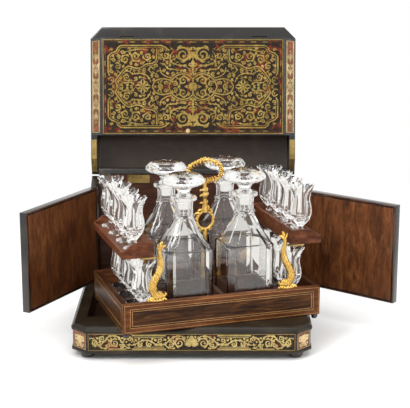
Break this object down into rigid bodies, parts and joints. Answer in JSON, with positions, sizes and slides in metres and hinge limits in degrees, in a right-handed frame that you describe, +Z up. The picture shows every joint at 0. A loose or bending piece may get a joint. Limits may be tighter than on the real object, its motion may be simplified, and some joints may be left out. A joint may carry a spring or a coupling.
{
  "type": "antique tantalus",
  "caption": "Hinged-lid liqueur case with fall flap, side doors and a lift-out tray of square decanters and fluted glasses.",
  "frame": {"origin": "centre of the base's underside, above the bun feet", "axes": "+X to the right of someone facing the case, +Y to the back, +Z up"},
  "size_m": [0.5645, 0.3776, 0.4506],
  "materials": {
    "boulle_marquetry": "gloss",
    "ebonised_wood": "gloss",
    "dark_lining_wood": "satin",
    "rosewood": "gloss",
    "mahogany": "gloss",
    "brass": "polished",
    "gilt_bronze": "polished",
    "crystal": "clear"
  },
  "bodies": {
    "case": {"base_frame": "boulle_marquetry", "base_floor": "dark_lining_wood", "bun_feet": "ebonised_wood", "back_panel": "ebonised_wood", "back_lining": "dark_lining_wood", "case_hinge_leaves": "brass"},
    "lid": {"lid_shell": "ebonised_wood", "lid_side_plates": "brass", "lid_hinge_knuckles": "brass"},
    "flap": {"flap": "boulle_marquetry", "flap_stiles": "boulle_marquetry", "flap_rail": "ebonised_wood", "flap_hinges": "brass", "flap_escutcheon": "brass", "flap_lock": "brass"},
    "door_left": {"door_left": "rosewood", "door_left_hinges": "brass"},
    "door_right": {"door_right": "rosewood", "door_right_hinges": "brass"},
    "tray": {"tray_front": "mahogany", "tray_back": "mahogany", "tray_left": "mahogany", "tray_right": "mahogany", "tray_floor": "dark_lining_wood", "tray_feet": "ebonised_wood", "bottle_divider": "dark_lining_wood", "divider_short_boards": "dark_lining_wood", "tray_partitions": "dark_lining_wood", "lower_rack_left": "dark_lining_wood", "lower_rack_right": "dark_lining_wood", "shelf_left": "mahogany", "shelf_right": "mahogany", "dolphin_front_left": "gilt_bronze", "dolphin_front_right": "gilt_bronze", "dolphin_rear_left": "gilt_bronze", "dolphin_rear_right": "gilt_bronze", "shelf_brackets": "gilt_bronze", "handle_post": "gilt_bronze", "carry_handle": "gilt_bronze"},
    "decanter_front_left": {"decanter_front_left": "crystal"},
    "stopper_front_left": {"stopper_front_left": "crystal"},
    "decanter_front_right": {"decanter_front_right": "crystal"},
    "stopper_front_right": {"stopper_front_right": "crystal"},
    "decanter_rear_left": {"decanter_rear_left": "crystal"},
    "stopper_rear_left": {"stopper_rear_left": "crystal"},
    "decanter_rear_right": {"decanter_rear_right": "crystal"},
    "stopper_rear_right": {"stopper_rear_right": "crystal"},
    "glass_upper_left_1": {"glass_upper_left_1": "crystal"},
    "glass_upper_left_2": {"glass_upper_left_2": "crystal"},
    "glass_upper_left_3": {"glass_upper_left_3": "crystal"},
    "glass_upper_left_4": {"glass_upper_left_4": "crystal"},
    "glass_upper_right_1": {"glass_upper_right_1": "crystal"},
    "glass_upper_right_2": {"glass_upper_right_2": "crystal"},
    "glass_upper_right_3": {"glass_upper_right_3": "crystal"},
    "glass_upper_right_4": {"glass_upper_right_4": "crystal"},
    "glass_lower_left_1": {"glass_lower_left_1": "crystal"},
    "glass_lower_left_2": {"glass_lower_left_2": "crystal"},
    "glass_lower_left_3": {"glass_lower_left_3": "crystal"},
    "glass_lower_left_4": {"glass_lower_left_4": "crystal"},
    "glass_lower_right_1": {"glass_lower_right_1": "crystal"},
    "glass_lower_right_2": {"glass_lower_right_2": "crystal"},
    "glass_lower_right_3": {"glass_lower_right_3": "crystal"},
    "glass_lower_right_4": {"glass_lower_right_4": "crystal"}
  },
  "joints": [
    {"name": "lid_hinge", "type": "hinge", "parent": "case", "child": "lid", "pos_m": [0, 0.1256, 0.208], "axis": [-1, 0, 0], "range_deg": [-55, 0]},
    {"name": "flap_fold", "type": "hinge", "parent": "lid", "child": "flap", "pos_m": [0, 0.15138, 0.42291], "axis": [-1, 0, 0], "range_deg": [0, 90]},
    {"name": "door_left_hinge", "type": "hinge", "parent": "case", "child": "door_left", "pos_m": [-0.164, 0.1, 0.0402], "axis": [0, 0, -1], "range_deg": [-27, 80]},
    {"name": "door_right_hinge", "type": "hinge", "parent": "case", "child": "door_right", "pos_m": [0.164, 0.1, 0.0402], "axis": [0, 0, 1], "range_deg": [-37, 55]},
    {"name": "tray_lift", "type": "slide", "parent": "case", "child": "tray", "axis": [0, 0, 1], "range_m": [0, 0.09]},
    {"name": "decanter_front_left_lift", "type": "slide", "parent": "tray", "child": "decanter_front_left", "axis": [0, 0, 1], "range_m": [0, 0.16]},
    {"name": "stopper_front_left_lift", "type": "slide", "parent": "decanter_front_left", "child": "stopper_front_left", "axis": [0, 0, 1], "range_m": [0, 0.04]},
    {"name": "decanter_front_right_lift", "type": "slide", "parent": "tray", "child": "decanter_front_right", "axis": [0, 0, 1], "range_m": [0, 0.16]},
    {"name": "stopper_front_right_lift", "type": "slide", "parent": "decanter_front_right", "child": "stopper_front_right", "axis": [0, 0, 1], "range_m": [0, 0.04]},
    {"name": "decanter_rear_left_lift", "type": "slide", "parent": "tray", "child": "decanter_rear_left", "axis": [0, 0, 1], "range_m": [0, 0.16]},
    {"name": "stopper_rear_left_lift", "type": "slide", "parent": "decanter_rear_left", "child": "stopper_rear_left", "axis": [0, 0, 1], "range_m": [0, 0.04]},
    {"name": "decanter_rear_right_lift", "type": "slide", "parent": "tray", "child": "decanter_rear_right", "axis": [0, 0, 1], "range_m": [0, 0.16]},
    {"name": "stopper_rear_right_lift", "type": "slide", "parent": "decanter_rear_right", "child": "stopper_rear_right", "axis": [0, 0, 1], "range_m": [0, 0.04]},
    {"name": "glass_upper_left_1_lift", "type": "slide", "parent": "tray", "child": "glass_upper_left_1", "axis": [0, 0, 1], "range_m": [0, 0.06]},
    {"name": "glass_upper_left_2_lift", "type": "slide", "parent": "tray", "child": "glass_upper_left_2", "axis": [0, 0, 1], "range_m": [0, 0.06]},
    {"name": "glass_upper_left_3_lift", "type": "slide", "parent": "tray", "child": "glass_upper_left_3", "axis": [0, 0, 1], "range_m": [0, 0.06]},
    {"name": "glass_upper_left_4_lift", "type": "slide", "parent": "tray", "child": "glass_upper_left_4", "axis": [0, 0, 1], "range_m": [0, 0.06]},
    {"name": "glass_upper_right_1_lift", "type": "slide", "parent": "tray", "child": "glass_upper_right_1", "axis": [0, 0, 1], "range_m": [0, 0.06]},
    {"name": "glass_upper_right_2_lift", "type": "slide", "parent": "tray", "child": "glass_upper_right_2", "axis": [0, 0, 1], "range_m": [0, 0.06]},
    {"name": "glass_upper_right_3_lift", "type": "slide", "parent": "tray", "child": "glass_upper_right_3", "axis": [0, 0, 1], "range_m": [0, 0.06]},
    {"name": "glass_upper_right_4_lift", "type": "slide", "parent": "tray", "child": "glass_upper_right_4", "axis": [0, 0, 1], "range_m": [0, 0.06]},
    {"name": "glass_lower_left_1_lift", "type": "slide", "parent": "tray", "child": "glass_lower_left_1", "axis": [0, 0, 1], "range_m": [0, 0.008]},
    {"name": "glass_lower_left_2_lift", "type": "slide", "parent": "tray", "child": "glass_lower_left_2", "axis": [0, 0, 1], "range_m": [0, 0.008]},
    {"name": "glass_lower_left_3_lift", "type": "slide", "parent": "tray", "child": "glass_lower_left_3", "axis": [0, 0, 1], "range_m": [0, 0.008]},
    {"name": "glass_lower_left_4_lift", "type": "slide", "parent": "tray", "child": "glass_lower_left_4", "axis": [0, 0, 1], "range_m": [0, 0.008]},
    {"name": "glass_lower_right_1_lift", "type": "slide", "parent": "tray", "child": "glass_lower_right_1", "axis": [0, 0, 1], "range_m": [0, 0.008]},
    {"name": "glass_lower_right_2_lift", "type": "slide", "parent": "tray", "child": "glass_lower_right_2", "axis": [0, 0, 1], "range_m": [0, 0.008]},
    {"name": "glass_lower_right_3_lift", "type": "slide", "parent": "tray", "child": "glass_lower_right_3", "axis": [0, 0, 1], "range_m": [0, 0.008]},
    {"name": "glass_lower_right_4_lift", "type": "slide", "parent": "tray", "child": "glass_lower_right_4", "axis": [0, 0, 1], "range_m": [0, 0.008]}
  ],
  "couplings": [
    {"joint": "flap_fold", "follows": "lid_hinge", "ratio": -1.6}
  ]
}
